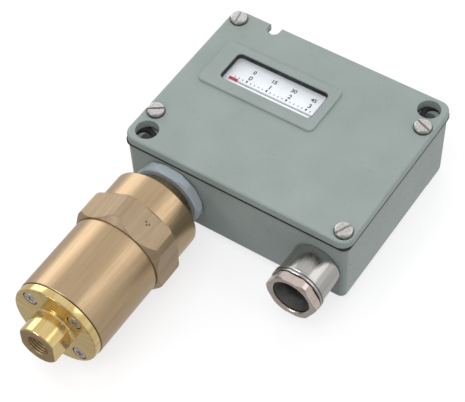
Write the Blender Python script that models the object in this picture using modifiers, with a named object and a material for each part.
"""Adjustable pressure switch: a cast case with a windowed cover, a brass bellows sensor and a cable gland.

The origin is the middle of the base face. +X runs along the long side of the case, +Y points to the
back (the sensor and the gland stand out of the front, towards -Y), and +Z points out of the cover.
"""

import math

import bmesh
import bpy
from mathutils import Matrix, Vector

MM = 0.001
CLEARANCE = 0.3 * MM  # between two pieces that touch on the real object

# ---------------------------------------------------------------- driving dimensions: case and cover
COVER_LENGTH = 105.0 * MM
COVER_DEPTH = 83.4 * MM
COVER_CORNER = 5.0 * MM
CASE_CORNER = 2.8 * MM
COVER_PLATE = 3.9 * MM
COVER_SKIN = 2.6 * MM
COVER_EDGE = 1.1 * MM
CASE_INSET = 0.9 * MM  # how far the case side stands back under the cover edge
CASE_DRAFT = 0.4 * MM
CASE_WALL = 3.0 * MM
CASE_FLOOR = 3.0 * MM
CASE_HEIGHT = 31.6 * MM
FOOT_HEIGHT = 1.2 * MM
FOOT_LENGTH = 15.0 * MM
BASE_LAND = (40.0 * MM, 24.0 * MM)
GASKET = 0.8 * MM
GASKET_INSET = 0.7 * MM
INNER_CORNER = 2.5 * MM

MOUNT_HOLE = 3.0 * MM
MOUNT_HEAD_HOLE = 4.9 * MM
MOUNT_POST = 5.2 * MM
MOUNT_FROM_SIDE = 7.4 * MM
MOUNT_FROM_END = 7.1 * MM

COVER_SCREW_SHANK = 2.0 * MM
COVER_SCREW_HEAD = 3.6 * MM
COVER_SCREW_HEAD_HEIGHT = 2.4 * MM
COVER_SCREW_DEPTH = 9.0 * MM
COVER_SCREW_SEAT = 0.8 * MM
COVER_SCREW_FROM_SIDE = 4.8 * MM
COVER_SCREW_FROM_CORNER = 5.3 * MM
COVER_SCREW_BESIDE_MOUNT = 17.0 * MM
SCREW_POST = 4.2 * MM
COVER_SCREW_TURNS = (35.0, 100.0, -20.0, 65.0)  # degrees, where each slot came to rest

NOTCH_RADIUS = 2.9 * MM
NOTCH_DEPTH = 5.6 * MM
NOTCH_X = -31.9 * MM
NOTCH_SINK = 3.6 * MM
LOCK_SCREW = 1.2 * MM
LOCK_SCREW_HEAD = 2.0 * MM
LOCK_SCREW_SHIFT = 0.6 * MM
LOCK_BOSS = (12.2 * MM, 4.2 * MM, 8.2 * MM)

# ---------------------------------------------------------------- window, scale and pointer
WINDOW = (44.0 * MM, 15.8 * MM)
WINDOW_CENTRE = (-14.3 * MM, 11.7 * MM)
WINDOW_CORNER = 2.2 * MM
BEZEL = (55.3 * MM, 25.3 * MM)
BEZEL_CENTRE = (-16.05 * MM, 11.15 * MM)
BEZEL_RISE = 1.2 * MM
BEZEL_LIP = 1.4 * MM
PANE = 1.6 * MM
PANE_LAP = 2.7 * MM
SEAL = 0.7 * MM
SCALE = (53.0 * MM, 22.0 * MM)
SCALE_CENTRE = (-16.2 * MM, 15.5 * MM)
SCALE_PLATE = 1.0 * MM
SCALE_TOP = 33.2 * MM
POINTER_SLOT_Y = 10.0 * MM
POINTER_SLOT = 1.0 * MM
POINTER_REST_X = -33.2 * MM
POINTER_TRAVEL = 32.0 * MM
POINTER_FLAG = (4.0 * MM, 1.0 * MM, 0.6 * MM)
POINTER_BLOCK = (6.0 * MM, 4.4 * MM)
POINTER_PIN = 1.0 * MM

# ---------------------------------------------------------------- sensor, along the axis out of the front
AXIS_HEIGHT = 16.0 * MM
SENSOR_X = -30.1 * MM
SPIGOT = 6.6 * MM
NECK = 13.0 * MM
OUTER_NUT_ACROSS = 29.0 * MM
OUTER_NUT = 4.3 * MM
OUTER_NUT_TURN = math.radians(23.0)
INNER_NUT_ACROSS = 16.4 * MM
INNER_NUT = 3.7 * MM
SENSOR_RADIUS = 19.6 * MM
SENSOR_START = 10.9 * MM
HEX_ACROSS = 39.7 * MM
HEX_CORNER = 21.9 * MM
HEX_START = 24.4 * MM
HEX_END = 35.7 * MM
HEX_CHAMFER = 2.8 * MM
SENSOR_END = 74.8 * MM
FLANGE = 3.4 * MM
FLANGE_EDGE = 0.8 * MM
NOSE = 9.1 * MM
NOSE_ACROSS = 15.8 * MM
FLAT_START = 1.5 * MM
NOSE_LENGTH = 10.9 * MM
PORT = 4.6 * MM
PORT_DEPTH = 12.0 * MM
PORT_CHAMFER = 0.5 * MM
ORIFICE = 2.2 * MM
BELLOWS_BORE = 12.2 * MM
BELLOWS_GAP = 0.8 * MM  # free space round the folds
BELLOWS_FOLD_DEPTH = 3.0 * MM
BELLOWS_OUTER = BELLOWS_BORE - BELLOWS_GAP
BELLOWS_INNER = BELLOWS_OUTER - BELLOWS_FOLD_DEPTH
BELLOWS_WALL = 0.5 * MM
BELLOWS_FOLDS = 7
BELLOWS_CHAMBER = 22.0 * MM
PLUNGER = BELLOWS_OUTER - MM
PLUNGER_START = 43.0 * MM
PLUNGER_DISC = 3.0 * MM
ROD = 2.6 * MM
BUSH = 5.6 * MM
BUSH_LENGTH = 9.4 * MM
FLANGE_SCREW_CIRCLE = 14.7 * MM
FLANGE_SCREW_HEAD = 2.9 * MM
FLANGE_SCREW_HEAD_HEIGHT = 1.7 * MM
FLANGE_SCREW = 1.5 * MM
FLANGE_SCREW_LENGTH = 9.0 * MM
SEAL_RING = 0.5 * MM

# ---------------------------------------------------------------- cable gland
GLAND_X = 38.8 * MM
GLAND_BODY = 10.7 * MM
GLAND_THREAD = 9.3 * MM
GLAND_BORE = 7.6 * MM
GLAND_BARREL = 12.8 * MM
GLAND_RIB = 11.3 * MM
GLAND_RIB_WIDTH = 1.0 * MM
GLAND_RIB_GAP = 0.5 * MM
GLAND_NUT_ACROSS = 20.6 * MM
GLAND_NUT = 3.9 * MM
GLAND_MOUTH = 8.2 * MM
GLAND_SEAL_BORE = 5.2 * MM

# ---------------------------------------------------------------- mechanism inside the case
CHASSIS_SHEET = 1.5 * MM
CHASSIS_RAISE = 2.0 * MM
CHASSIS_X = (-43.0 * MM, 19.0 * MM)
CHASSIS_Y = (-28.0 * MM, 35.0 * MM)
CHASSIS_SCREWS = ((-40.3, 31.0), (15.0, -24.7), (15.0, 31.0))
CHASSIS_SCREW_HEAD = 2.7 * MM
CHASSIS_SCREW_HEAD_HEIGHT = 1.9 * MM
SMALL_SCREW = 1.5 * MM
BOSS = 3.3 * MM
LEVER_PIVOT = (-39.5 * MM, -22.5 * MM)
LEVER_FRONT = -26.7 * MM
LEVER_SHEET = 2.5 * MM
LEVER_WIDTH = 11.0 * MM
LEVER_END_X = -4.0 * MM
LEVER_HUB = 3.3 * MM
LEVER_HUB_HEIGHT = 15.5 * MM
PIN = 1.5 * MM
EAR_Z = 25.5 * MM
SPRING_WIRE = 0.9 * MM
SPRING_RADIUS = 5.4 * MM
SPRING_TURNS = 8
SPRING_POINTS = 14
NUT_Y = 25.0 * MM
NUT_THICK = 6.0 * MM
NUT_RADIUS = 7.4 * MM
NUT_EAR_Z = 22.3 * MM
NUT_EAR = 1.6 * MM
SPINDLE = 3.0 * MM
SPINDLE_START_Y = 15.0 * MM
SPINDLE_COLLAR = 4.6 * MM
SPINDLE_COLLAR_WIDTH = 1.4 * MM
SPINDLE_SLOT = 1.1 * MM
BEARING_Y = 33.3 * MM
BEARING_TOP = 21.6 * MM
SPINDLE_BUSH = 4.7 * MM
RING = 4.7 * MM
RING_WIDTH = 1.3 * MM
CRANK_PIVOT = (-17.2 * MM, 30.0 * MM)
CRANK_Z = 25.0 * MM
CRANK_SHEET = 1.5 * MM
CRANK_HUB = 4.0 * MM
CRANK_ARM_HALF = 3.7 * MM
CRANK_ARM_SLOT_HALF = 2.25 * MM
CRANK_TAIL_HALF = 2.7 * MM
CRANK_TAIL_SLOT_HALF = 1.55 * MM
NUT_PIN = 1.0 * MM
NUT_PIN_ARM = 5.0 * MM
COLUMN = 2.3 * MM
SCALE_SCREW = 1.0 * MM
SCALE_SCREW_HEAD = 1.9 * MM
SCALE_SCREW_HEAD_HEIGHT = 1.3 * MM
SCALE_SCREW_LENGTH = 6.0 * MM

# ---------------------------------------------------------------- switch and terminals
SWITCH_X = (-14.0 * MM, 13.8 * MM)
SWITCH_Y = (-21.0 * MM, -5.1 * MM)
SWITCH_Z = 11.0 * MM
SWITCH_THICK = 10.3 * MM
BUTTON_X = -8.0 * MM
BUTTON = (2.4 * MM, 3.4 * MM)
BUTTON_STEM = 4.0 * MM
BUTTON_TRAVEL = 1.1 * MM
SWITCH_SCREWS = ((-10.5, -8.6), (10.3, -17.5))
TAB_XS = (-9.5, 0.0, 9.5)
TAB = (0.8 * MM, 4.2 * MM, 4.0 * MM)
BLOCK_X = (22.0 * MM, 42.0 * MM)
BLOCK_Y = (2.0 * MM, 16.0 * MM)
BLOCK_HEIGHT = 14.5 * MM
POLE_PITCH = 6.4 * MM
WIRE_ENTRY = 3.6 * MM
CLAMP_SCREW = 1.3 * MM
CLAMP_HEAD = 2.1 * MM
LEAD = 0.7 * MM
LEAD_PITCH = 1.8 * MM
EARTH_SCREW_AT = (22.0 * MM, -30.0 * MM)
EARTH_HEAD = 3.0 * MM

# ---------------------------------------------------------------- heights and places that follow
CASE_BOTTOM = FOOT_HEIGHT
CASE_TOP = CASE_BOTTOM + CASE_HEIGHT
FLOOR = CASE_BOTTOM + CASE_FLOOR
GASKET_BOTTOM = CASE_TOP + CLEARANCE
COVER_BOTTOM = GASKET_BOTTOM + GASKET + CLEARANCE
COVER_TOP = COVER_BOTTOM + COVER_PLATE
COVER_UNDER = COVER_TOP - COVER_SKIN
BEZEL_TOP = COVER_TOP + BEZEL_RISE
PANE_CEILING = BEZEL_TOP - BEZEL_LIP
CASE_HALF_X = COVER_LENGTH / 2 - CASE_INSET
CASE_HALF_Y = COVER_DEPTH / 2 - CASE_INSET
INNER_HALF_X = CASE_HALF_X - CASE_WALL
INNER_HALF_Y = CASE_HALF_Y - CASE_WALL
FRONT = -CASE_HALF_Y
BACK = CASE_HALF_Y
MOUNT_AT = (COVER_LENGTH / 2 - MOUNT_FROM_SIDE, COVER_DEPTH / 2 - MOUNT_FROM_END)
MOUNT_HOLES = ((-MOUNT_AT[0], -MOUNT_AT[1]), MOUNT_AT)
SCREW_X = COVER_LENGTH / 2 - COVER_SCREW_FROM_SIDE
SCREW_CORNER_Y = COVER_DEPTH / 2 - COVER_SCREW_FROM_CORNER
SCREW_INNER_Y = COVER_DEPTH / 2 - COVER_SCREW_BESIDE_MOUNT
COVER_SCREWS = (
    (-SCREW_X, -SCREW_INNER_Y),
    (-SCREW_X, SCREW_CORNER_Y),
    (SCREW_X, SCREW_INNER_Y),
    (SCREW_X, -SCREW_CORNER_Y),
)
NOTCH_Y = COVER_DEPTH / 2 - NOTCH_DEPTH + NOTCH_RADIUS
LOCK_SCREW_AT = (NOTCH_X, NOTCH_Y - LOCK_SCREW_SHIFT)
SENSOR_AXIS = Vector((SENSOR_X, FRONT, AXIS_HEIGHT))
GLAND_AXIS = Vector((GLAND_X, FRONT, AXIS_HEIGHT))
CHASSIS_Z = FLOOR + CHASSIS_RAISE + CLEARANCE
CHASSIS_TOP = CHASSIS_Z + CHASSIS_SHEET
LEVER_BACK = LEVER_FRONT + LEVER_SHEET
FLANGE_START = SENSOR_END + CLEARANCE
FLANGE_FACE = FLANGE_START + FLANGE
NOSE_END = FLANGE_FACE + NOSE_LENGTH
SCREW_SEAT = FLANGE_FACE - FLANGE_SCREW_HEAD_HEIGHT - CLEARANCE
CRANK_ARM = CRANK_PIVOT[1] - POINTER_SLOT_Y
CRANK_SWING = math.atan(POINTER_TRAVEL / 2 / CRANK_ARM)
NUT_PIN_AT = (CRANK_PIVOT[0] - NUT_PIN_ARM, CRANK_PIVOT[1] + NUT_PIN_ARM * math.tan(CRANK_SWING))
SCALE_COLUMNS = (
    (SCALE_CENTRE[0] - SCALE[0] / 2 + COLUMN, SCALE_CENTRE[1] + SCALE[1] / 2 - COLUMN),
    (SCALE_CENTRE[0] + SCALE[0] / 2 - COLUMN, SCALE_CENTRE[1] + SCALE[1] / 2 - COLUMN),
)
POLES = [(BLOCK_X[0] + BLOCK_X[1]) / 2 + (i - 1) * POLE_PITCH for i in range(3)]
WIRE_ENTRY_Z = FLOOR + CLEARANCE + 4.0 * MM
FAR = 20.0 * MM  # how far a cutter runs past the wall that it cuts
ALONG_Y = (math.pi / 2, 0.0, 0.0)  # turns a shape's +Z to -Y, out of the front of the case
FLAT_ON_TOP = math.pi / 6  # turns a hexagon from corner up to flat up

PARTS = "pressure_switch"
CUTTERS = "cutters"


# ---------------------------------------------------------------- scene helpers
def clear_scene():
    for old in list(bpy.data.objects):
        bpy.data.objects.remove(old)
    for name in (PARTS, CUTTERS):
        bpy.context.scene.collection.children.link(bpy.data.collections.new(name))


def finish(name, colour, roughness, metallic, alpha=1.0):
    made = bpy.data.materials.new(name)
    made.use_nodes = True
    shader = made.node_tree.nodes["Principled BSDF"]
    shader.inputs["Base Color"].default_value = (*colour, 1.0)
    shader.inputs["Roughness"].default_value = roughness
    shader.inputs["Metallic"].default_value = metallic
    shader.inputs["Alpha"].default_value = alpha
    return made


def place(name, mesh, at=(0.0, 0.0, 0.0), turn=(0.0, 0.0, 0.0)):
    made = bpy.data.objects.new(name, mesh)
    made.location = at
    made.rotation_euler = turn
    bpy.data.collections[PARTS].objects.link(made)
    return made


def as_cutter(obj):
    bpy.data.collections[PARTS].objects.unlink(obj)
    bpy.data.collections[CUTTERS].objects.link(obj)
    obj.hide_render = True
    obj.display_type = "WIRE"
    return obj


def combine(obj, tool, operation="DIFFERENCE"):
    step = obj.modifiers.new(operation.title(), "BOOLEAN")
    step.operation = operation
    step.object = as_cutter(tool) if not tool.hide_render else tool
    return obj


def round_edges(obj, width, segments=2, angle=30.0):
    step = obj.modifiers.new("Rounded edges", "BEVEL")
    step.width = width
    step.segments = segments
    step.limit_method = "ANGLE"
    step.angle_limit = math.radians(angle)
    return obj


def dress(obj, material):
    obj.data.materials.clear()
    obj.data.materials.append(material)
    if obj.type == "MESH":
        obj.data.shade_smooth()
        obj.data.set_sharp_from_angle(angle=math.radians(35))
    return obj


def stand_on(obj, point):
    """Moves the origin of an unturned object to the point, and leaves its shape where it is."""
    shift = Vector(point) - obj.location
    obj.data.transform(Matrix.Translation(-shift))
    obj.location = point
    return obj


# ---------------------------------------------------------------- shapes
def from_bmesh(name, shape, at=(0.0, 0.0, 0.0), turn=(0.0, 0.0, 0.0)):
    mesh = bpy.data.meshes.new(name)
    shape.to_mesh(mesh)
    shape.free()
    return place(name, mesh, at, turn)


def block(name, low, high):
    shape = bmesh.new()
    bmesh.ops.create_cube(shape, size=1.0)
    low, high = Vector(low), Vector(high)
    bmesh.ops.scale(shape, vec=high - low, verts=shape.verts)
    bmesh.ops.translate(shape, vec=(low + high) / 2, verts=shape.verts)
    return from_bmesh(name, shape)


def slab(name, centre, size, corner, bottom, top, draft=0.0, steps=5):
    """An upright block with rounded corners in plan. A draft makes its bottom smaller on each side."""
    shape = bmesh.new()
    bmesh.ops.create_cube(shape, size=1.0)
    bmesh.ops.scale(shape, vec=(size[0], size[1], top - bottom), verts=shape.verts)
    upright = [e for e in shape.edges if abs(e.verts[0].co.z - e.verts[1].co.z) > (top - bottom) / 2]
    bmesh.ops.bevel(shape, geom=upright, offset=corner, segments=steps, profile=0.5, affect="EDGES")
    low = [v for v in shape.verts if v.co.z < 0]
    if draft:
        lean = (1 - 2 * draft / size[0], 1 - 2 * draft / size[1], 1)
        bmesh.ops.scale(shape, vec=lean, verts=low)
    bmesh.ops.translate(shape, vec=(centre[0], centre[1], (bottom + top) / 2), verts=shape.verts)
    return from_bmesh(name, shape)


def rod(name, radius, at, bottom, top, segments=24, sides_turn=0.0):
    """An upright cylinder, or a prism when it has few segments."""
    shape = bmesh.new()
    bmesh.ops.create_cone(
        shape, cap_ends=True, segments=segments, radius1=radius, radius2=radius, depth=top - bottom
    )
    bmesh.ops.rotate(shape, matrix=Matrix.Rotation(sides_turn, 3, "Z"), verts=shape.verts)
    bmesh.ops.translate(shape, vec=(at[0], at[1], (bottom + top) / 2), verts=shape.verts)
    return from_bmesh(name, shape)


def along(name, radius, axis_at, start, end, segments=24, sides_turn=0.0):
    """A cylinder or prism whose own Z runs out of the front from axis_at, between start and end."""
    made = rod(name, radius, (0.0, 0.0), start, end, segments, sides_turn)
    made.location = axis_at
    made.rotation_euler = ALONG_Y
    return made


def turned(name, profile, at, turn=(0.0, 0.0, 0.0), steps=32, ring=False):
    """A profile of (radius, height) points turned about its Z. The outer side runs from top to bottom."""
    mesh = bpy.data.meshes.new(name)
    count = len(profile)
    edges = [(i, i + 1) for i in range(count - 1)] + ([(count - 1, 0)] if ring else [])
    mesh.from_pydata([(radius, 0.0, height) for radius, height in profile], edges, [])
    made = place(name, mesh, at, turn)
    spin = made.modifiers.new("Turned", "SCREW")
    spin.steps = steps
    spin.render_steps = steps
    spin.use_merge_vertices = True
    spin.merge_threshold = 0.00001
    return made


def hexagon(across):
    """The corner radius of a hexagon of this width across its flats."""
    return across / 2 / math.cos(math.pi / 6)


def screw(name, at, seat, head, head_height, shank, length, slot_turn=0.0, cross=False, steps=20):
    """An upright slotted screw whose head rests a clearance above the seat and whose shank hangs below."""
    under = seat + CLEARANCE
    dome = head_height * 0.25
    profile = [
        (0.0, under + head_height),
        (head * 0.78, under + head_height),
        (head, under + head_height - dome),
        (head, under),
        (shank, under),
        (shank, under - length),
        (0.0, under - length),
    ]
    made = turned(name, profile, (at[0], at[1], 0.0), steps=steps)
    width = max(head * 0.26, 0.5 * MM)
    for step in range(2 if cross else 1):
        reach = head * (0.62 if cross else 1.4)
        groove = block(
            name + "_slot",
            (-reach, -width / 2, under + head_height * 0.55),
            (reach, width / 2, under + head_height + FAR),
        )
        groove.location = (at[0], at[1], 0.0)
        groove.rotation_euler = (0.0, 0.0, slot_turn + step * math.pi / 2)
        combine(made, groove)
    return made


# ---------------------------------------------------------------- case, cover and seals
def case_cavity():
    """The room inside the case, with the posts and bosses left standing in it."""
    room = slab(
        "case_room", (0, 0), (2 * INNER_HALF_X, 2 * INNER_HALF_Y), INNER_CORNER, FLOOR, COVER_TOP + FAR
    )
    top = COVER_TOP + 2 * FAR
    for x, y in MOUNT_HOLES:
        combine(room, rod("mount_post", MOUNT_POST, (x, y), 0.0, top, 28))
    for x, y in COVER_SCREWS:
        combine(room, rod("screw_post", SCREW_POST, (x, y), 0.0, top, 20))
    width, depth, height = LOCK_BOSS
    combine(
        room,
        block(
            "lock_boss",
            (NOTCH_X - width / 2, INNER_HALF_Y - depth, CASE_TOP - height),
            (NOTCH_X + width / 2, INNER_HALF_Y + FAR, top),
        ),
    )
    for x, y in [(x * MM, y * MM) for x, y in CHASSIS_SCREWS] + [EARTH_SCREW_AT]:
        combine(room, rod("boss", BOSS, (x, y), 0.0, FLOOR + CHASSIS_RAISE, 20))
    return as_cutter(room)


def notch_cutter(name, grow, bottom):
    """The half-round bite out of the back edge, open to the back."""
    radius = NOTCH_RADIUS + grow
    bite = rod(name, radius, (NOTCH_X, NOTCH_Y), bottom, COVER_TOP + FAR, 24)
    run = block(
        name + "_run",
        (NOTCH_X - radius, NOTCH_Y, bottom),
        (NOTCH_X + radius, BACK + FAR, COVER_TOP + FAR),
    )
    return as_cutter(combine(bite, run, "UNION"))


def make_case(cavity):
    case = slab(
        "case_body",
        (0, 0),
        (2 * CASE_HALF_X, 2 * CASE_HALF_Y),
        CASE_CORNER,
        CASE_BOTTOM,
        CASE_TOP,
        draft=CASE_DRAFT,
    )
    foot_x = CASE_HALF_X - CASE_DRAFT - CLEARANCE
    foot_y = CASE_HALF_Y - CASE_DRAFT - CLEARANCE
    for side in (-1, 1):
        middle = (side * (foot_x - FOOT_LENGTH / 2), side * (foot_y - FOOT_LENGTH / 2))
        foot = slab(
            "foot", middle, (FOOT_LENGTH, FOOT_LENGTH), CASE_CORNER, 0.0, FLOOR - MM, steps=4
        )
        combine(case, foot, "UNION")
    combine(case, slab("base_land", (0, 0), BASE_LAND, COVER_CORNER, 0.0, FLOOR - MM, steps=3), "UNION")
    combine(case, cavity)
    for x, y in MOUNT_HOLES:
        combine(case, rod("mount_hole", MOUNT_HOLE, (x, y), -FAR, COVER_TOP, 24))
    for x, y in COVER_SCREWS:
        depth = CASE_TOP - COVER_SCREW_DEPTH
        combine(case, rod("screw_hole", COVER_SCREW_SHANK + CLEARANCE, (x, y), depth, COVER_TOP, 16))
    for x, y in [(x * MM, y * MM) for x, y in CHASSIS_SCREWS] + [EARTH_SCREW_AT]:
        hole = SMALL_SCREW + CLEARANCE
        combine(case, rod("boss_hole", hole, (x, y), CASE_BOTTOM + MM, CHASSIS_Z + FAR, 12))
    inward = CASE_WALL + FAR / 4
    combine(case, along("sensor_hole", SPIGOT + CLEARANCE, SENSOR_AXIS, -inward, FAR, 32))
    combine(case, along("gland_hole", GLAND_THREAD + CLEARANCE, GLAND_AXIS, -inward, FAR, 32))
    back_axis = Vector((SENSOR_X, BACK, AXIS_HEIGHT))
    combine(case, along("spindle_hole", SPINDLE_BUSH + CLEARANCE, back_axis, -FAR, inward, 24))
    combine(case, notch_cutter("case_notch", 0.0, CASE_TOP - NOTCH_SINK))
    lock_hole = LOCK_SCREW + CLEARANCE
    combine(case, rod("lock_hole", lock_hole, LOCK_SCREW_AT, AXIS_HEIGHT + SPINDLE, COVER_TOP, 14))
    return case


def make_gasket(cavity):
    size = (2 * (CASE_HALF_X - GASKET_INSET), 2 * (CASE_HALF_Y - GASKET_INSET))
    corner = COVER_CORNER - CASE_INSET - GASKET_INSET
    gasket = slab("cover_gasket", (0, 0), size, corner, GASKET_BOTTOM, GASKET_BOTTOM + GASKET)
    combine(gasket, cavity)
    for x, y in MOUNT_HOLES:
        combine(gasket, rod("gasket_hole", MOUNT_HOLE + CLEARANCE, (x, y), 0.0, COVER_TOP, 20))
    for x, y in COVER_SCREWS:
        combine(gasket, rod("gasket_hole", COVER_SCREW_SHANK + CLEARANCE, (x, y), 0.0, COVER_TOP, 14))
    combine(gasket, notch_cutter("gasket_notch", CLEARANCE, CASE_TOP))
    return gasket


def make_cover():
    cover = slab("cover", (0, 0), (COVER_LENGTH, COVER_DEPTH), COVER_CORNER, COVER_BOTTOM, COVER_TOP, steps=7)
    bevel_top(cover, COVER_EDGE, COVER_TOP)
    bezel = slab("bezel", BEZEL_CENTRE, BEZEL, WINDOW_CORNER, COVER_TOP - MM, BEZEL_TOP, steps=4)
    bevel_top(bezel, BEZEL_RISE / 2, BEZEL_TOP)
    combine(cover, bezel, "UNION")
    lip = CASE_WALL + CASE_INSET
    size = (COVER_LENGTH - 2 * lip, COVER_DEPTH - 2 * lip)
    hollow = slab("cover_hollow", (0, 0), size, INNER_CORNER, COVER_BOTTOM - FAR, COVER_UNDER)
    for x, y in MOUNT_HOLES:
        combine(hollow, rod("cover_land", MOUNT_POST + MM, (x, y), -FAR, COVER_TOP, 28))
    for x, y in COVER_SCREWS:
        combine(hollow, rod("cover_land", SCREW_POST + MM, (x, y), -FAR, COVER_TOP, 20))
    combine(hollow, rod("cover_land", 2 * NOTCH_RADIUS, (NOTCH_X, NOTCH_Y), -FAR, COVER_TOP, 24))
    combine(cover, hollow)
    pocket = (WINDOW[0] + 2 * (PANE_LAP + CLEARANCE), WINDOW[1] + 2 * (PANE_LAP + CLEARANCE))
    combine(cover, slab("pane_pocket", WINDOW_CENTRE, pocket, WINDOW_CORNER, 0.0, PANE_CEILING, steps=3))
    combine(cover, slab("window", WINDOW_CENTRE, WINDOW, WINDOW_CORNER, 0.0, COVER_TOP + FAR, steps=4))
    for x, y in MOUNT_HOLES:
        combine(cover, rod("head_hole", MOUNT_HEAD_HOLE, (x, y), 0.0, COVER_TOP + FAR, 32))
    for x, y in COVER_SCREWS:
        combine(cover, rod("shank_hole", COVER_SCREW_SHANK + CLEARANCE, (x, y), 0.0, COVER_TOP + FAR, 16))
        seat = COVER_TOP - COVER_SCREW_SEAT
        combine(cover, rod("head_seat", COVER_SCREW_HEAD + 0.5 * MM, (x, y), seat, COVER_TOP + FAR, 24))
    combine(cover, notch_cutter("cover_notch", 0.0, COVER_BOTTOM - FAR))
    return cover


def bevel_top(obj, width, height):
    """Rounds the edge that runs round the top of a slab."""
    shape = bmesh.new()
    shape.from_mesh(obj.data)
    rim = [e for e in shape.edges if all(abs(v.co.z - height) < MM / 100 for v in e.verts)]
    rim = [e for e in rim if abs(sum(f.normal.z for f in e.link_faces)) < 1.5]
    bmesh.ops.bevel(shape, geom=rim, offset=width, segments=3, profile=0.5, affect="EDGES")
    shape.to_mesh(obj.data)
    shape.free()


def make_window():
    size = (WINDOW[0] + 2 * PANE_LAP, WINDOW[1] + 2 * PANE_LAP)
    seal_bottom = PANE_CEILING - CLEARANCE - SEAL
    seal = slab("window_seal", WINDOW_CENTRE, size, WINDOW_CORNER, seal_bottom, seal_bottom + SEAL, steps=3)
    opening = (WINDOW[0] + MM, WINDOW[1] + MM)
    combine(seal, slab("seal_opening", WINDOW_CENTRE, opening, WINDOW_CORNER, 0.0, COVER_TOP + FAR, steps=3))
    pane_top = seal_bottom - CLEARANCE
    pane = slab("window_pane", WINDOW_CENTRE, size, WINDOW_CORNER, pane_top - PANE, pane_top, steps=3)
    return seal, pane


def make_cover_screws():
    seat = COVER_TOP - COVER_SCREW_SEAT
    length = seat + CLEARANCE - (CASE_TOP - COVER_SCREW_DEPTH) - MM
    return [
        screw(
            f"cover_screw_{i + 1}",
            at,
            seat,
            COVER_SCREW_HEAD,
            COVER_SCREW_HEAD_HEIGHT,
            COVER_SCREW_SHANK,
            length,
            math.radians(COVER_SCREW_TURNS[i]),
        )
        for i, at in enumerate(COVER_SCREWS)
    ]


def make_locking_screw():
    seat = CASE_TOP - NOTCH_SINK
    length = seat - (AXIS_HEIGHT + SPINDLE_BUSH + CLEARANCE)
    return screw(
        "locking_screw", LOCK_SCREW_AT, seat, LOCK_SCREW_HEAD, 1.6 * MM, LOCK_SCREW, length, 0.4, steps=16
    )


# ---------------------------------------------------------------- sensor
def make_sensor_body():
    chamfer = MM
    body = turned(
        "sensor_body",
        [
            (0.0, SENSOR_END),
            (SENSOR_RADIUS, SENSOR_END),
            (SENSOR_RADIUS, SENSOR_START + chamfer),
            (SENSOR_RADIUS - chamfer, SENSOR_START),
            (NECK, SENSOR_START),
            (NECK, OUTER_NUT + 2 * CLEARANCE),
            (SPIGOT, OUTER_NUT + 2 * CLEARANCE),
            (SPIGOT, -CASE_WALL - INNER_NUT - 2 * CLEARANCE - MM),
            (0.0, -CASE_WALL - INNER_NUT - 2 * CLEARANCE - MM),
        ],
        SENSOR_AXIS,
        ALONG_Y,
        steps=48,
    )
    hexagonal = along("sensor_hexagon", hexagon(HEX_ACROSS), SENSOR_AXIS, HEX_START, HEX_END + HEX_CHAMFER, 6)
    dome = turned(
        "hexagon_chamfer",
        [
            (0.0, HEX_END + HEX_CHAMFER + MM),
            (SENSOR_RADIUS - MM, HEX_END + HEX_CHAMFER + MM),
            (HEX_CORNER, HEX_END),
            (HEX_CORNER, HEX_START + MM / 2),
            (HEX_CORNER - MM / 2, HEX_START - MM / 2),
            (0.0, HEX_START - MM / 2),
        ],
        SENSOR_AXIS,
        ALONG_Y,
        steps=48,
    )
    combine(hexagonal, dome, "INTERSECT")
    combine(body, hexagonal, "UNION")
    bore = turned(
        "sensor_bore",
        [
            (0.0, SENSOR_END + FAR),
            (BELLOWS_BORE, SENSOR_END + FAR),
            (BELLOWS_BORE, BELLOWS_CHAMBER),
            (BUSH + CLEARANCE, BELLOWS_CHAMBER),
            (BUSH + CLEARANCE, BELLOWS_CHAMBER - BUSH_LENGTH - 2 * CLEARANCE),
            (ROD + CLEARANCE + MM / 2, BELLOWS_CHAMBER - BUSH_LENGTH - 2 * CLEARANCE),
            (ROD + CLEARANCE + MM / 2, -FAR),
            (0.0, -FAR),
        ],
        SENSOR_AXIS,
        ALONG_Y,
        steps=32,
    )
    combine(body, bore)
    for x, z in flange_screw_places():
        at = SENSOR_AXIS + Vector((x, 0.0, z))
        deep = SENSOR_END - FLANGE_SCREW_LENGTH
        combine(body, along("flange_thread", FLANGE_SCREW + CLEARANCE, at, deep, SENSOR_END + FAR, 12))
    return body


def flange_screw_places():
    return [
        (
            FLANGE_SCREW_CIRCLE * math.cos(math.radians(45 + 90 * i)),
            FLANGE_SCREW_CIRCLE * math.sin(math.radians(45 + 90 * i)),
        )
        for i in range(4)
    ]


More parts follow.
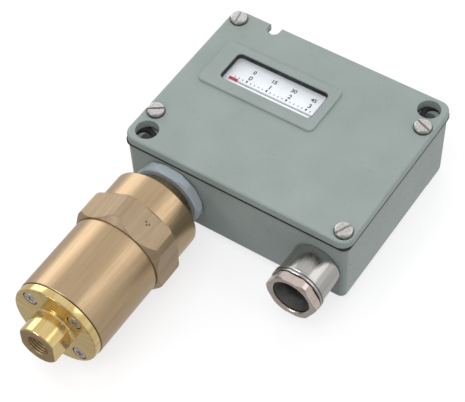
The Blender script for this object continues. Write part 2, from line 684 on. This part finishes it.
def make_port_flange():
    spigot = BELLOWS_BORE - CLEARANCE
    spigot_end = SENSOR_END - 2.2 * MM
    groove = spigot - 2 * SEAL_RING - 2 * CLEARANCE
    flange = turned(
        "port_flange",
        [
            (0.0, NOSE_END),
            (NOSE - MM / 2, NOSE_END),
            (NOSE, NOSE_END - MM / 2),
            (NOSE, FLANGE_FACE + MM),
            (NOSE + MM, FLANGE_FACE),
            (SENSOR_RADIUS - CLEARANCE - FLANGE_EDGE, FLANGE_FACE),
            (SENSOR_RADIUS - CLEARANCE, FLANGE_FACE - FLANGE_EDGE),
            (SENSOR_RADIUS - CLEARANCE, FLANGE_START),
            (spigot, FLANGE_START),
            (spigot, SENSOR_END - 0.4 * MM),
            (groove, SENSOR_END - 0.4 * MM),
            (groove, SENSOR_END - 1.8 * MM),
            (spigot, SENSOR_END - 1.8 * MM),
            (spigot, spigot_end),
            (0.0, spigot_end),
        ],
        SENSOR_AXIS,
        ALONG_Y,
        steps=40,
    )
    for side in (-1, 1):
        near, far = side * NOSE_ACROSS / 2, side * (NOSE + FAR)
        flat = block(
            "wrench_flat",
            (min(near, far), -FAR, FLANGE_FACE + FLAT_START),
            (max(near, far), FAR, NOSE_END + FAR),
        )
        flat.location = SENSOR_AXIS
        flat.rotation_euler = ALONG_Y
        combine(flange, flat)
    port = turned(
        "port_bore",
        [
            (0.0, NOSE_END + MM),
            (PORT + PORT_CHAMFER + MM, NOSE_END + MM),
            (PORT, NOSE_END - PORT_CHAMFER),
            (PORT, NOSE_END - PORT_DEPTH),
            (ORIFICE, NOSE_END - PORT_DEPTH - 1.5 * MM),
            (ORIFICE, spigot_end - FAR),
            (0.0, spigot_end - FAR),
        ],
        SENSOR_AXIS,
        ALONG_Y,
        steps=28,
    )
    combine(flange, port)
    for x, z in flange_screw_places():
        at = SENSOR_AXIS + Vector((x, 0.0, z))
        combine(flange, along("flange_hole", FLANGE_SCREW + CLEARANCE, at, 0.0, NOSE_END, 12))
        combine(flange, along("flange_sink", FLANGE_SCREW_HEAD + CLEARANCE, at, SCREW_SEAT, NOSE_END, 20))
    return flange


def make_flange_screws():
    made = []
    for i, (x, z) in enumerate(flange_screw_places()):
        one = screw(
            f"flange_screw_{i + 1}",
            (0.0, 0.0),
            SCREW_SEAT,
            FLANGE_SCREW_HEAD,
            FLANGE_SCREW_HEAD_HEIGHT,
            FLANGE_SCREW,
            FLANGE_SCREW_LENGTH,
            0.5 + 0.9 * i,
            cross=True,
            steps=16,
        )
        at = SENSOR_AXIS + Vector((x, 0.0, z))
        for step in one.modifiers:
            if step.type == "BOOLEAN":
                spin = step.object.rotation_euler.z
                step.object.matrix_world = (
                    Matrix.Translation(at)
                    @ Matrix.Rotation(math.pi / 2, 4, "X")
                    @ Matrix.Rotation(spin, 4, "Z")
                )
        one.location = at
        one.rotation_euler = ALONG_Y
        made.append(one)
    return made


def make_bellows():
    """A folded tube between the plunger disc and the flange spigot."""
    low = PLUNGER_START + PLUNGER_DISC + CLEARANCE
    high = SENSOR_END - 2.2 * MM - CLEARANCE
    fold = (high - low) / (2 * BELLOWS_FOLDS)
    outer = []
    for i in range(2 * BELLOWS_FOLDS + 1):
        radius = BELLOWS_OUTER if i % 2 else BELLOWS_INNER + BELLOWS_WALL
        outer.append((radius, high - i * fold))
    inner = [(radius - BELLOWS_WALL * 1.6, height) for radius, height in reversed(outer)]
    return turned("bellows", outer + inner, SENSOR_AXIS, ALONG_Y, steps=24, ring=True)


def make_push_rod():
    rod_end = LEVER_FRONT - CLEARANCE - FRONT
    return turned(
        "push_rod",
        [
            (0.0, PLUNGER_START + PLUNGER_DISC),
            (PLUNGER, PLUNGER_START + PLUNGER_DISC),
            (PLUNGER, PLUNGER_START),
            (ROD, PLUNGER_START),
            (ROD, -rod_end + ROD / 2),
            (ROD / 2, -rod_end),
            (0.0, -rod_end),
        ],
        SENSOR_AXIS,
        ALONG_Y,
        steps=24,
    )


def ring_of(name, inner, outer, axis_at, start, end, steps=28):
    profile = [(outer, end), (outer, start), (inner, start), (inner, end)]
    return turned(name, profile, axis_at, ALONG_Y, steps=steps, ring=True)


def make_guide_bush():
    start = BELLOWS_CHAMBER - BUSH_LENGTH - CLEARANCE
    return ring_of("guide_bush", ROD + CLEARANCE, BUSH, SENSOR_AXIS, start, start + BUSH_LENGTH, 20)


def make_flange_seal():
    middle = BELLOWS_BORE - 2 * CLEARANCE - SEAL_RING
    height = SENSOR_END - 1.1 * MM
    profile = [
        (
            middle + SEAL_RING * math.cos(-math.pi * 2 * i / 8),
            height + SEAL_RING * math.sin(-math.pi * 2 * i / 8),
        )
        for i in range(8)
    ]
    return turned("flange_seal", profile, SENSOR_AXIS, ALONG_Y, steps=28, ring=True)


def hex_nut(name, across, bore, axis_at, start, end, turn, corner=None):
    """A chamfered hexagon nut on an axis out of the front."""
    nut = along(name, hexagon(across), axis_at, start, end, 6, turn)
    corner = corner or hexagon(across) - 0.5 * MM
    edge = 0.8 * MM
    dome = turned(
        name + "_chamfer",
        [
            (0.0, end + MM),
            (corner - edge - MM, end + MM),
            (corner, end - edge),
            (corner, start - MM),
            (0.0, start - MM),
        ],
        axis_at,
        ALONG_Y,
        steps=36,
    )
    combine(nut, dome, "INTERSECT")
    combine(nut, along(name + "_bore", bore, axis_at, start - FAR, end + FAR, 28))
    return nut


def make_sensor_nuts():
    bore = SPIGOT + CLEARANCE
    outer = hex_nut(
        "outer_lock_nut",
        OUTER_NUT_ACROSS,
        bore,
        SENSOR_AXIS,
        CLEARANCE,
        CLEARANCE + OUTER_NUT,
        OUTER_NUT_TURN,
        corner=OUTER_NUT_ACROSS / 2 + 1.2 * MM,
    )
    start = -CASE_WALL - CLEARANCE - INNER_NUT
    inner = hex_nut(
        "inner_lock_nut", INNER_NUT_ACROSS, bore, SENSOR_AXIS, start, start + INNER_NUT, FLAT_ON_TOP
    )
    return outer, inner


# ---------------------------------------------------------------- cable gland
def make_gland():
    rib_two = GLAND_BARREL + GLAND_RIB_WIDTH + GLAND_RIB_GAP
    ribs_end = rib_two + GLAND_RIB_WIDTH
    neck_end = ribs_end + 2.0 * MM
    neck = GLAND_MOUTH + MM - CLEARANCE
    inner_end = -CASE_WALL - 2.0 * MM
    body = turned(
        "gland_body",
        [
            (neck, neck_end),
            (neck, ribs_end),
            (GLAND_RIB, ribs_end),
            (GLAND_RIB, rib_two),
            (GLAND_BODY, rib_two),
            (GLAND_BODY, rib_two - GLAND_RIB_GAP),
            (GLAND_RIB, rib_two - GLAND_RIB_GAP),
            (GLAND_RIB, GLAND_BARREL),
            (GLAND_BODY, GLAND_BARREL),
            (GLAND_BODY, CLEARANCE),
            (GLAND_THREAD, CLEARANCE),
            (GLAND_THREAD, inner_end),
            (GLAND_BORE, inner_end),
            (GLAND_BORE, neck_end),
        ],
        GLAND_AXIS,
        ALONG_Y,
        steps=40,
        ring=True,
    )
    seal = ring_of(
        "gland_seal", GLAND_SEAL_BORE, GLAND_BORE - CLEARANCE, GLAND_AXIS, 4.0 * MM, ribs_end, 28
    )
    start = ribs_end + CLEARANCE
    nut = hex_nut(
        "gland_nut", GLAND_NUT_ACROSS, GLAND_MOUTH, GLAND_AXIS, start, start + GLAND_NUT, FLAT_ON_TOP
    )
    combine(nut, along("gland_nut_well", neck + CLEARANCE, GLAND_AXIS, 0.0, neck_end + CLEARANCE, 32))
    return body, seal, nut


# ---------------------------------------------------------------- mechanism
def make_chassis():
    chassis = block(
        "chassis", (CHASSIS_X[0], CHASSIS_Y[0], CHASSIS_Z), (CHASSIS_X[1], CHASSIS_Y[1], CHASSIS_TOP)
    )
    sunk = CHASSIS_TOP - CHASSIS_SHEET / 2
    hub_x, hub_y = LEVER_PIVOT
    platform = block(
        "switch_platform",
        (SWITCH_X[0] - MM / 2, SWITCH_Y[0] - CLEARANCE, sunk),
        (SWITCH_X[1] + MM / 2, SWITCH_Y[1] + CLEARANCE, SWITCH_Z - CLEARANCE),
    )
    bearing = block(
        "spindle_bearing",
        (SENSOR_X - NUT_RADIUS, BEARING_Y, sunk),
        (SENSOR_X + NUT_RADIUS, BEARING_Y + CHASSIS_SHEET, BEARING_TOP),
    )
    ear_inner = CHASSIS_X[0] + MM / 4
    post = block(
        "ear_post",
        (ear_inner, hub_y + LEVER_HUB + MM, sunk),
        (ear_inner + CHASSIS_SHEET, hub_y + 3 * LEVER_HUB, EAR_Z + CHASSIS_SHEET / 2),
    )
    ear = block(
        "lever_ear",
        (ear_inner, hub_y - LEVER_HUB, EAR_Z),
        (hub_x + LEVER_HUB, hub_y + 3 * LEVER_HUB, EAR_Z + CHASSIS_SHEET),
    )
    for piece in (platform, bearing, post, ear):
        combine(chassis, piece, "UNION")
    crank_seat = CRANK_Z - 2 * CLEARANCE
    combine(chassis, rod("crank_column", CRANK_HUB - MM / 2, CRANK_PIVOT, sunk, crank_seat, 20), "UNION")
    for at in SCALE_COLUMNS:
        top = SCALE_TOP - SCALE_PLATE - CLEARANCE
        combine(chassis, rod("scale_column", COLUMN, at, sunk, top, 16), "UNION")
        hole = top - SCALE_SCREW_LENGTH
        combine(chassis, rod("scale_thread", SCALE_SCREW + CLEARANCE, at, hole, COVER_TOP, 10))
    combine(chassis, rod("lever_pin_hole", PIN + CLEARANCE, LEVER_PIVOT, 0.0, COVER_TOP, 14))
    combine(chassis, rod("crank_thread", PIN + CLEARANCE, CRANK_PIVOT, CRANK_Z - 11 * MM, COVER_TOP, 14))
    spindle_at = Vector((SENSOR_X, BEARING_Y, AXIS_HEIGHT))
    combine(chassis, along("spindle_way", SPINDLE + CLEARANCE, spindle_at, -FAR / 4, FAR / 4, 20))
    for x, y in CHASSIS_SCREWS:
        hole = SMALL_SCREW + CLEARANCE
        combine(chassis, rod("chassis_hole", hole, (x * MM, y * MM), 0.0, COVER_TOP, 12))
    for x, y in SWITCH_SCREWS:
        hole = SMALL_SCREW + CLEARANCE
        combine(chassis, rod("switch_thread", hole, (x * MM, y * MM), 0.0, COVER_TOP, 12))
    return chassis


def make_rocker_lever():
    hub_x, hub_y = LEVER_PIVOT
    low = AXIS_HEIGHT - LEVER_WIDTH / 2
    lever = block(
        "rocker_lever",
        (hub_x - LEVER_HUB + MM / 2, LEVER_FRONT, low),
        (LEVER_END_X, LEVER_BACK, low + LEVER_WIDTH),
    )
    hub_low = AXIS_HEIGHT - LEVER_HUB_HEIGHT / 2 + MM / 4
    combine(lever, rod("lever_hub", LEVER_HUB, LEVER_PIVOT, hub_low, hub_low + LEVER_HUB_HEIGHT, 20), "UNION")
    back_at = Vector((SENSOR_X, LEVER_BACK, AXIS_HEIGHT))
    seat_radius = SPRING_RADIUS - SPRING_WIRE - 0.8 * MM
    combine(lever, along("spring_boss", seat_radius, back_at, -3.0 * MM, MM, 16), "UNION")
    combine(lever, rod("lever_bore", PIN + CLEARANCE, LEVER_PIVOT, 0.0, COVER_TOP, 14))
    return stand_on(lever, (hub_x, hub_y, AXIS_HEIGHT))


def make_lever_pin():
    top = EAR_Z + CHASSIS_SHEET + CLEARANCE
    bottom = CHASSIS_Z + CLEARANCE
    head = 1.2 * MM
    profile = [
        (0.0, top + head),
        (PIN + MM, top + head),
        (PIN + MM, top),
        (PIN, top),
        (PIN, bottom),
        (0.0, bottom),
    ]
    return turned("lever_pin", profile, (*LEVER_PIVOT, 0.0), steps=14)


def make_range_spring():
    """A coil along the sensor axis, from the rocker lever back to the spring nut."""
    start = LEVER_BACK + CLEARANCE + SPRING_WIRE
    end = NUT_Y - CLEARANCE - SPRING_WIRE
    curve = bpy.data.curves.new("range_spring", "CURVE")
    curve.dimensions = "3D"
    curve.bevel_depth = SPRING_WIRE
    curve.bevel_resolution = 2
    curve.use_fill_caps = True
    line = curve.splines.new("POLY")
    count = SPRING_TURNS * SPRING_POINTS
    line.points.add(count)
    for i, point in enumerate(line.points):
        angle = 2 * math.pi * i / SPRING_POINTS
        point.co = (
            SPRING_RADIUS * math.cos(angle),
            start + (end - start) * i / count,
            SPRING_RADIUS * math.sin(angle),
            1.0,
        )
    return place("range_spring", curve, (SENSOR_X, 0.0, AXIS_HEIGHT))


def make_spring_nut():
    nut_at = Vector((SENSOR_X, 0.0, AXIS_HEIGHT))
    nut = along("spring_nut", NUT_RADIUS, nut_at, -NUT_Y - NUT_THICK, -NUT_Y, 28)
    foot = block(
        "nut_foot",
        (-NUT_RADIUS / 2, CHASSIS_TOP + CLEARANCE - AXIS_HEIGHT, -NUT_Y - NUT_THICK + MM / 4),
        (NUT_RADIUS / 2, 0.0, -NUT_Y - MM / 4),
    )
    foot.location = nut_at
    foot.rotation_euler = ALONG_Y
    pin_x, pin_y = NUT_PIN_AT
    ear_top = NUT_EAR_Z + NUT_EAR
    arm = block(
        "nut_arm",
        (SENSOR_X, NUT_Y + NUT_THICK / 2, NUT_EAR_Z),
        (pin_x + 1.3 * NUT_PIN, NUT_Y + NUT_THICK + 1.5 * MM, ear_top),
    )
    tip = block(
        "nut_arm_tip",
        (pin_x - 2.6 * NUT_PIN, NUT_Y + NUT_THICK, NUT_EAR_Z),
        (pin_x + 1.3 * NUT_PIN - MM / 20, pin_y + 1.3 * NUT_PIN, ear_top - MM / 20),
    )
    pin = rod("nut_pin", NUT_PIN, NUT_PIN_AT, ear_top - MM, CRANK_Z + CRANK_SHEET + MM, 14)
    for piece in (foot, arm, tip, pin):
        combine(nut, piece, "UNION")
    combine(nut, along("nut_thread", SPINDLE + CLEARANCE, nut_at, -NUT_Y - FAR, -NUT_Y + FAR, 20))
    return nut


def make_spindle():
    """The set-point spindle, with its thread at the front and its driving slot flush with the back wall."""
    tip = BACK - CLEARANCE
    collar = BEARING_Y + CHASSIS_SHEET + CLEARANCE
    spindle = turned(
        "setpoint_spindle",
        [
            (0.0, -SPINDLE_START_Y),
            (SPINDLE - MM / 2, -SPINDLE_START_Y),
            (SPINDLE, -SPINDLE_START_Y - MM / 2),
            (SPINDLE, -collar),
            (SPINDLE_COLLAR, -collar),
            (SPINDLE_COLLAR, -collar - SPINDLE_COLLAR_WIDTH),
            (SPINDLE, -collar - SPINDLE_COLLAR_WIDTH),
            (SPINDLE, -tip + MM / 2),
            (SPINDLE - MM / 2, -tip),
            (0.0, -tip),
        ],
        (SENSOR_X, 0.0, AXIS_HEIGHT),
        ALONG_Y,
        steps=20,
    )
    slot = block(
        "spindle_slot",
        (SENSOR_X - FAR / 2, tip - 1.4 * MM, AXIS_HEIGHT - SPINDLE_SLOT / 2),
        (SENSOR_X + FAR / 2, tip + FAR, AXIS_HEIGHT + SPINDLE_SLOT / 2),
    )
    combine(spindle, slot)
    centre = Vector((SENSOR_X, 0.0, AXIS_HEIGHT))
    ring_back = -(BEARING_Y - CLEARANCE)
    bore = SPINDLE + CLEARANCE
    ring = ring_of("spindle_ring", bore, RING, centre, ring_back, ring_back + RING_WIDTH, 20)
    bush_front = -(collar + SPINDLE_COLLAR_WIDTH + CLEARANCE)
    bush = ring_of("spindle_bush", bore, SPINDLE_BUSH, centre, -(BACK - CLEARANCE), bush_front, 24)
    return spindle, ring, bush


def make_pointer_crank():
    """A flat bell crank: the long fork drives the pointer, the short one is driven by the spring nut."""
    top = CRANK_Z + CRANK_SHEET
    reach = CRANK_ARM / math.cos(CRANK_SWING) + POINTER_PIN + 1.5 * MM
    tail = NUT_PIN_ARM / math.cos(CRANK_SWING) + NUT_PIN + CLEARANCE / 2
    crank = rod("pointer_crank", CRANK_HUB, (0.0, 0.0), CRANK_Z, top, 24)
    shade = MM / 20
    arm = block("crank_arm", (-CRANK_ARM_HALF, -reach, CRANK_Z + shade), (CRANK_ARM_HALF, 0.0, top - shade))
    tail_plate = block(
        "crank_tail", (-tail, -CRANK_TAIL_HALF, CRANK_Z + 2 * shade), (0.0, CRANK_TAIL_HALF, top - 2 * shade)
    )
    arm_slot = block(
        "crank_arm_slot",
        (-CRANK_ARM_SLOT_HALF, -reach - FAR, 0.0),
        (CRANK_ARM_SLOT_HALF, -CRANK_ARM + POINTER_PIN + CLEARANCE, COVER_TOP),
    )
    tail_slot = block(
        "crank_tail_slot",
        (-tail - FAR, -CRANK_TAIL_SLOT_HALF, 0.0),
        (-NUT_PIN_ARM + NUT_PIN + CLEARANCE, CRANK_TAIL_SLOT_HALF, COVER_TOP),
    )
    bore = rod("crank_bore", PIN + CLEARANCE, (0.0, 0.0), 0.0, COVER_TOP, 14)
    for piece in (arm, tail_plate):
        combine(crank, piece, "UNION")
    for piece in (arm_slot, tail_slot, bore):
        combine(crank, piece)
    for piece in (crank, arm, tail_plate, arm_slot, tail_slot, bore):
        piece.location = (*CRANK_PIVOT, 0.0)
        piece.rotation_euler = (0.0, 0.0, -CRANK_SWING)
    pivot = screw(
        "crank_pivot_screw",
        CRANK_PIVOT,
        top,
        PIN + 1.2 * MM,
        1.4 * MM,
        PIN,
        CRANK_SHEET + 9.0 * MM,
        0.8,
        steps=16,
    )
    return crank, pivot


def make_scale_and_pointer():
    plate = slab("scale_plate", SCALE_CENTRE, SCALE, MM, SCALE_TOP - SCALE_PLATE, SCALE_TOP, steps=2)
    flag_length, flag_width, flag_height = POINTER_FLAG
    slot = block(
        "pointer_slot",
        (POINTER_REST_X - flag_length / 2 - MM, POINTER_SLOT_Y - POINTER_SLOT / 2, 0.0),
        (POINTER_REST_X + POINTER_TRAVEL + 6.0 * MM, POINTER_SLOT_Y + POINTER_SLOT / 2, COVER_TOP),
    )
    combine(plate, slot)
    for at in SCALE_COLUMNS:
        combine(plate, rod("scale_hole", SCALE_SCREW + CLEARANCE, at, 0.0, COVER_TOP, 12))
    under = SCALE_TOP - SCALE_PLATE - CLEARANCE
    x, y = POINTER_REST_X, POINTER_SLOT_Y
    length, width = POINTER_BLOCK
    low = CRANK_Z + CRANK_SHEET + MM
    pointer = block("pointer", (x - length / 2, y - width / 2, low), (x + length / 2, y + width / 2, under))
    tongue = POINTER_SLOT / 2 - CLEARANCE
    flag_bottom = SCALE_TOP + CLEARANCE
    blade = block(
        "pointer_blade",
        (x - flag_length / 2 + MM / 2, y - tongue, under - MM),
        (x + flag_length / 2 - MM / 2, y + tongue, flag_bottom + flag_height / 2),
    )
    flag = block(
        "pointer_flag",
        (x - flag_length / 2, y - flag_width / 2, flag_bottom),
        (x + flag_length / 2, y + flag_width / 2, flag_bottom + flag_height),
    )
    pin = rod("pointer_pin", POINTER_PIN, (x, y), CRANK_Z - MM / 2, low + MM, 14)
    for piece in (blade, flag, pin):
        combine(pointer, piece, "UNION")
    screws = [
        screw(
            f"scale_screw_{i + 1}",
            at,
            SCALE_TOP,
            SCALE_SCREW_HEAD,
            SCALE_SCREW_HEAD_HEIGHT,
            SCALE_SCREW,
            SCALE_SCREW_LENGTH,
            1.1 + i,
            steps=14,
        )
        for i, at in enumerate(SCALE_COLUMNS)
    ]
    return plate, stand_on(pointer, (x, y, SCALE_TOP)), screws


def make_chassis_screws():
    return [
        screw(
            f"chassis_screw_{i + 1}",
            (x * MM, y * MM),
            CHASSIS_TOP,
            CHASSIS_SCREW_HEAD,
            CHASSIS_SCREW_HEAD_HEIGHT,
            SMALL_SCREW,
            CHASSIS_TOP - CASE_BOTTOM - 1.6 * MM,
            0.3 + 0.8 * i,
            steps=16,
        )
        for i, (x, y) in enumerate(CHASSIS_SCREWS)
    ]


# ---------------------------------------------------------------- switch, terminals and leads
def make_microswitch():
    top = SWITCH_Z + SWITCH_THICK
    body = block("microswitch_body", (SWITCH_X[0], SWITCH_Y[0], SWITCH_Z), (SWITCH_X[1], SWITCH_Y[1], top))
    round_edges(body, 0.5 * MM, 1)
    width, height = BUTTON
    front = LEVER_BACK + CLEARANCE
    back = front + BUTTON_STEM
    pocket = block(
        "button_pocket",
        (
            BUTTON_X - width / 2 - CLEARANCE,
            SWITCH_Y[0] - FAR,
            AXIS_HEIGHT - height / 2 - CLEARANCE,
        ),
        (
            BUTTON_X + width / 2 + CLEARANCE,
            back + BUTTON_TRAVEL + CLEARANCE,
            AXIS_HEIGHT + height / 2 + CLEARANCE,
        ),
    )
    combine(body, pocket)
    for x, y in SWITCH_SCREWS:
        combine(body, rod("switch_hole", SMALL_SCREW + CLEARANCE, (x * MM, y * MM), 0.0, COVER_TOP, 14))
    button = block(
        "microswitch_button",
        (BUTTON_X - width / 2, front, AXIS_HEIGHT - height / 2),
        (BUTTON_X + width / 2, back, AXIS_HEIGHT + height / 2),
    )
    round_edges(button, 0.5 * MM, 2)
    screws = [
        screw(
            f"switch_screw_{i + 1}",
            (x * MM, y * MM),
            top,
            CHASSIS_SCREW_HEAD,
            CHASSIS_SCREW_HEAD_HEIGHT,
            SMALL_SCREW,
            SWITCH_THICK + 3.0 * MM,
            0.9 + i,
            steps=16,
        )
        for i, (x, y) in enumerate(SWITCH_SCREWS)
    ]
    tabs = []
    thick, length, width = TAB
    for i, x in enumerate(TAB_XS):
        start = SWITCH_Y[1] + CLEARANCE
        tabs.append(
            block(
                f"switch_tab_{i + 1}",
                (x * MM - thick / 2, start, AXIS_HEIGHT - width / 2),
                (x * MM + thick / 2, start + length, AXIS_HEIGHT + width / 2),
            )
        )
    return body, stand_on(button, (BUTTON_X, front, AXIS_HEIGHT)), screws, tabs


def make_terminal_block():
    bottom = FLOOR + CLEARANCE
    top = bottom + BLOCK_HEIGHT
    made = block("terminal_block", (BLOCK_X[0], BLOCK_Y[0], bottom), (BLOCK_X[1], BLOCK_Y[1], top))
    round_edges(made, 0.6 * MM, 1)
    middle = (BLOCK_Y[0] + BLOCK_Y[1]) / 2
    seat = WIRE_ENTRY_Z + WIRE_ENTRY / 2 + 1.5 * MM
    clamps = []
    for i, x in enumerate(POLES):
        half = WIRE_ENTRY / 2
        way = block(
            "wire_way",
            (x - half, BLOCK_Y[0] - FAR, WIRE_ENTRY_Z - half),
            (x + half, BLOCK_Y[1] + FAR, WIRE_ENTRY_Z + half),
        )
        combine(made, way)
        combine(made, rod("clamp_well", CLAMP_HEAD + CLEARANCE, (x, middle), seat, top + FAR, 16))
        combine(made, rod("clamp_way", CLAMP_SCREW + CLEARANCE, (x, middle), WIRE_ENTRY_Z, top + FAR, 12))
        clamps.append(
            screw(
                f"terminal_screw_{i + 1}",
                (x, middle),
                seat,
                CLAMP_HEAD,
                2.0 * MM,
                CLAMP_SCREW,
                2.4 * MM,
                0.2 + 0.7 * i,
                steps=16,
            )
        )
    return made, clamps


def smooth_route(points, steps=6):
    """Points on a Catmull-Rom curve through the given ones."""
    points = [Vector(p) * MM for p in points]
    points = [2 * points[0] - points[1]] + points + [2 * points[-1] - points[-2]]
    route = []
    for a, b, c, d in zip(points, points[1:], points[2:], points[3:]):
        for i in range(steps):
            t = i / steps
            route.append(
                0.5
                * (2 * b + (c - a) * t + (2 * a - 5 * b + 4 * c - d) * t * t + (3 * b - a - 3 * c + d) * t**3)
            )
    route.append(points[-2])
    return route


def make_leads():
    """Insulated leads from the switch tabs round to the back of the terminal block."""
    tab_end = (SWITCH_Y[1] + CLEARANCE + TAB[1] + CLEARANCE) / MM
    entry_y = (BLOCK_Y[1] - 1.5 * MM) / MM
    lane_y = (BLOCK_Y[1] + LEAD + 0.5 * MM) / MM
    height = AXIS_HEIGHT / MM
    entry = WIRE_ENTRY_Z / MM
    made = []
    for i, (tab_x, pole) in enumerate(zip(TAB_XS, reversed(POLES))):
        pole = pole / MM
        lane = lane_y + LEAD_PITCH / MM * (len(POLES) - 1 - i)
        points = [
            (tab_x, tab_end, height),
            (tab_x, tab_end + 3.0, height),
            (tab_x + 1.5, tab_end + 8.0, height),
            (tab_x + 4.0, lane - 3.0, height),
            (tab_x + 9.0, lane, height - 0.5),
            (pole - 6.0, lane, height - 2.5),
            (pole - 1.5, lane - 0.3, entry + 1.2),
            (pole, lane - 1.5, entry),
            (pole, entry_y, entry),
        ]
        curve = bpy.data.curves.new(f"lead_{i + 1}", "CURVE")
        curve.dimensions = "3D"
        curve.bevel_depth = LEAD
        curve.bevel_resolution = 1
        curve.use_fill_caps = True
        route = smooth_route(points, 4)
        line = curve.splines.new("POLY")
        line.points.add(len(route) - 1)
        for point, at in zip(line.points, route):
            point.co = (*at, 1.0)
        made.append(place(f"lead_{i + 1}", curve))
    return made


def make_earth_screw():
    seat = FLOOR + CHASSIS_RAISE
    head, depth, slot_turn = 2.0 * MM, 4.0 * MM, 1.0
    return screw(
        "earth_screw", EARTH_SCREW_AT, seat, EARTH_HEAD, head, SMALL_SCREW, depth, slot_turn, steps=18
    )


# ---------------------------------------------------------------- assembly
def main():
    clear_scene()
    paint = finish("grey_green_paint", (0.30, 0.36, 0.34), 0.42, 0.0)
    rubber = finish("black_rubber", (0.02, 0.02, 0.02), 0.8, 0.0)
    glass = finish("window_glass", (0.85, 0.9, 0.9), 0.05, 0.0, alpha=0.35)
    white = finish("white_enamel", (0.85, 0.86, 0.86), 0.4, 0.0)
    red = finish("red_plastic", (0.55, 0.04, 0.05), 0.4, 0.0)
    steel = finish("zinc_plated_steel", (0.62, 0.63, 0.62), 0.35, 1.0)
    sheet = finish("bright_sheet_steel", (0.58, 0.58, 0.56), 0.4, 1.0)
    spring_steel = finish("spring_steel", (0.30, 0.30, 0.32), 0.35, 1.0)
    brass = finish("turned_brass", (0.62, 0.46, 0.28), 0.36, 1.0)
    bright_brass = finish("polished_brass", (0.75, 0.52, 0.20), 0.2, 1.0)
    nickel = finish("nickel_plated_brass", (0.66, 0.62, 0.58), 0.28, 1.0)
    grey_nut = finish("grey_lacquer", (0.36, 0.41, 0.44), 0.45, 0.0)
    phenolic = finish("black_moulding", (0.03, 0.03, 0.035), 0.45, 0.0)
    ivory = finish("ivory_moulding", (0.72, 0.69, 0.60), 0.45, 0.0)
    insulation = finish("blue_insulation", (0.05, 0.12, 0.35), 0.5, 0.0)

    cavity = case_cavity()
    dress(make_case(cavity), paint)
    dress(make_cover(), paint)
    dress(make_gasket(cavity), rubber)
    seal, pane = make_window()
    dress(seal, rubber)
    dress(pane, glass)
    for one in make_cover_screws():
        dress(one, steel)
    dress(make_locking_screw(), steel)

    dress(make_sensor_body(), brass)
    dress(make_port_flange(), bright_brass)
    for one in make_flange_screws():
        dress(one, steel)
    dress(make_bellows(), brass)
    dress(make_push_rod(), steel)
    dress(make_guide_bush(), bright_brass)
    dress(make_flange_seal(), rubber)
    outer_nut, inner_nut = make_sensor_nuts()
    dress(outer_nut, grey_nut)
    dress(inner_nut, steel)

    body, gland_seal, nut = make_gland()
    for one in (body, nut):
        dress(one, nickel)
    dress(gland_seal, rubber)

    dress(make_chassis(), sheet)
    dress(make_rocker_lever(), sheet)
    dress(make_lever_pin(), steel)
    dress(make_range_spring(), spring_steel)
    dress(make_spring_nut(), bright_brass)
    spindle, ring, bush = make_spindle()
    dress(spindle, steel)
    dress(ring, spring_steel)
    dress(bush, bright_brass)
    crank, pivot = make_pointer_crank()
    dress(crank, sheet)
    dress(pivot, steel)
    plate, pointer, scale_screws = make_scale_and_pointer()
    dress(plate, white)
    dress(pointer, red)
    for one in scale_screws + make_chassis_screws():
        dress(one, steel)

    switch, button, switch_screws, tabs = make_microswitch()
    dress(switch, phenolic)
    dress(button, red)
    for one in switch_screws:
        dress(one, steel)
    for one in tabs:
        dress(one, bright_brass)
    terminals, clamps = make_terminal_block()
    dress(terminals, ivory)
    for one in clamps:
        dress(one, steel)
    for one in make_leads():
        dress(one, insulation)
    dress(make_earth_screw(), steel)


main()
